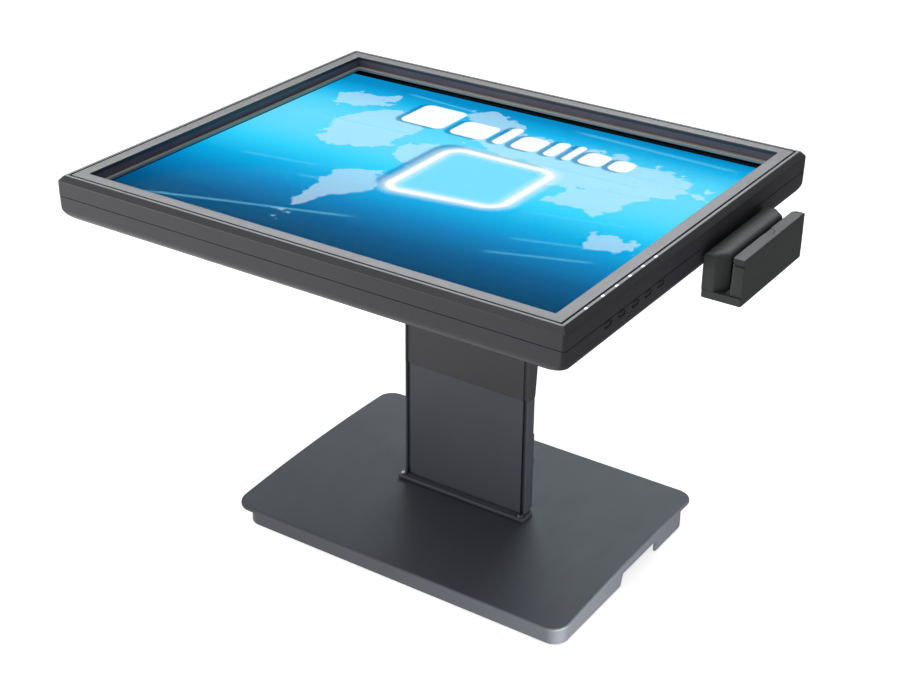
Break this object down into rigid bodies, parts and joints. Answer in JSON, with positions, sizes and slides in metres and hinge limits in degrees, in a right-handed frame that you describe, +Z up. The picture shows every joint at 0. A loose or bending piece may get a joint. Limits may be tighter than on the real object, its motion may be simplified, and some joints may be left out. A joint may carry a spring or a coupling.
{
  "type": "table-top touch terminal",
  "caption": "Flat-lying touch display on a slim column with a wedge foot, edge keys and a side card swipe reader; the display tilts up on a friction hinge.",
  "frame": {"origin": "middle of the bounding box's footprint, on the table under the rubber feet", "axes": "+X along the display's width towards the user's right and the card reader, +Y away from the user, +Z up"},
  "size_m": [0.4472, 0.352, 0.3288],
  "materials": {
    "stand_plastic": "fine satin moulded plastic, dark grey with a blue tint",
    "black_steel": "black powder coat",
    "rubber": "matt black rubber",
    "zinc_steel": "zinc plated steel",
    "display_plastic": "satin moulded plastic, dark grey",
    "ir_filter": "infrared-passing plastic, nearly black with a purple cast",
    "retainer_aluminium": "anodised aluminium",
    "touch_glass": "clear float glass",
    "gasket": "black foam",
    "screen": "lit liquid crystal panel, blue picture",
    "circuit_board": "green circuit board",
    "socket_plastic": "black socket moulding",
    "light_pipe": "clear light pipe",
    "reader_plastic": "finely textured moulded plastic, dark grey",
    "head_metal": "polished mumetal"
  },
  "bodies": {
    "stand": {"base_cover": "stand_plastic", "base_steel_plate": "black_steel", "rubber_foot_1": "rubber", "rubber_foot_2": "rubber", "rubber_foot_3": "rubber", "rubber_foot_4": "rubber", "flange_screw_1": "zinc_steel", "flange_screw_2": "zinc_steel", "column_spine": "black_steel", "side_rail_left": "stand_plastic", "side_rail_right": "stand_plastic", "column_front_panel": "stand_plastic", "column_rear_panel": "stand_plastic", "column_collar": "stand_plastic", "collar_screw_left": "zinc_steel", "collar_screw_right": "zinc_steel", "neck_cover_front": "stand_plastic", "neck_cover_rear": "stand_plastic", "hinge_block": "black_steel", "hinge_shaft": "zinc_steel", "hinge_nut": "zinc_steel", "spring_washer_left": "zinc_steel", "spring_washer_right": "zinc_steel"},
    "display_head": {"hinge_arm_left": "black_steel", "hinge_arm_right": "black_steel", "vesa_plate": "black_steel", "vesa_screw_1": "zinc_steel", "vesa_screw_2": "zinc_steel", "vesa_screw_3": "zinc_steel", "vesa_screw_4": "zinc_steel", "rear_cover": "display_plastic", "electronics_cover": "display_plastic", "front_bezel": "display_plastic", "ir_filter_front": "ir_filter", "ir_filter_back": "ir_filter", "ir_filter_left": "ir_filter", "ir_filter_right": "ir_filter", "glass_retainer": "retainer_aluminium", "touch_glass": "touch_glass", "screen_gasket": "gasket", "lcd_panel": "screen", "chassis_plate": "zinc_steel", "main_board": "circuit_board", "power_board": "circuit_board", "power_inlet": "socket_plastic", "button_board": "circuit_board", "light_guide": "light_pipe", "reader_inner_housing": "reader_plastic", "reader_outer_housing": "reader_plastic", "reader_floor": "reader_plastic", "reader_led_lens": "light_pipe", "reader_bracket": "black_steel", "reader_board": "circuit_board"},
    "key_1": {"button_1": "display_plastic"},
    "key_2": {"button_2": "display_plastic"},
    "key_3": {"button_3": "display_plastic"},
    "key_4": {"button_4": "display_plastic"},
    "key_5": {"button_5": "display_plastic"},
    "swipe_head": {"magnetic_head": "head_metal", "head_spring": "zinc_steel"}
  },
  "joints": [
    {"name": "display_tilt", "type": "hinge", "parent": "stand", "child": "display_head", "pos_m": [-0.0156, 0.0433, 0.255], "axis": [1, 0, 0], "range_deg": [0, 80]},
    {"name": "key_1_press", "type": "slide", "parent": "display_head", "child": "key_1", "axis": [-1, 0, 0], "range_m": [0, 0.0008], "stiffness_N_per_m": 300, "springref_m": -0.0005},
    {"name": "key_2_press", "type": "slide", "parent": "display_head", "child": "key_2", "axis": [-1, 0, 0], "range_m": [0, 0.0008], "stiffness_N_per_m": 300, "springref_m": -0.0005},
    {"name": "key_3_press", "type": "slide", "parent": "display_head", "child": "key_3", "axis": [-1, 0, 0], "range_m": [0, 0.0008], "stiffness_N_per_m": 300, "springref_m": -0.0005},
    {"name": "key_4_press", "type": "slide", "parent": "display_head", "child": "key_4", "axis": [-1, 0, 0], "range_m": [0, 0.0008], "stiffness_N_per_m": 300, "springref_m": -0.0005},
    {"name": "key_5_press", "type": "slide", "parent": "display_head", "child": "key_5", "axis": [-1, 0, 0], "range_m": [0, 0.0008], "stiffness_N_per_m": 300, "springref_m": -0.0005},
    {"name": "swipe_head_float", "type": "slide", "parent": "display_head", "child": "swipe_head", "axis": [-1, 0, 0], "range_m": [0, 0.001], "stiffness_N_per_m": 500, "springref_m": -0.0005}
  ]
}
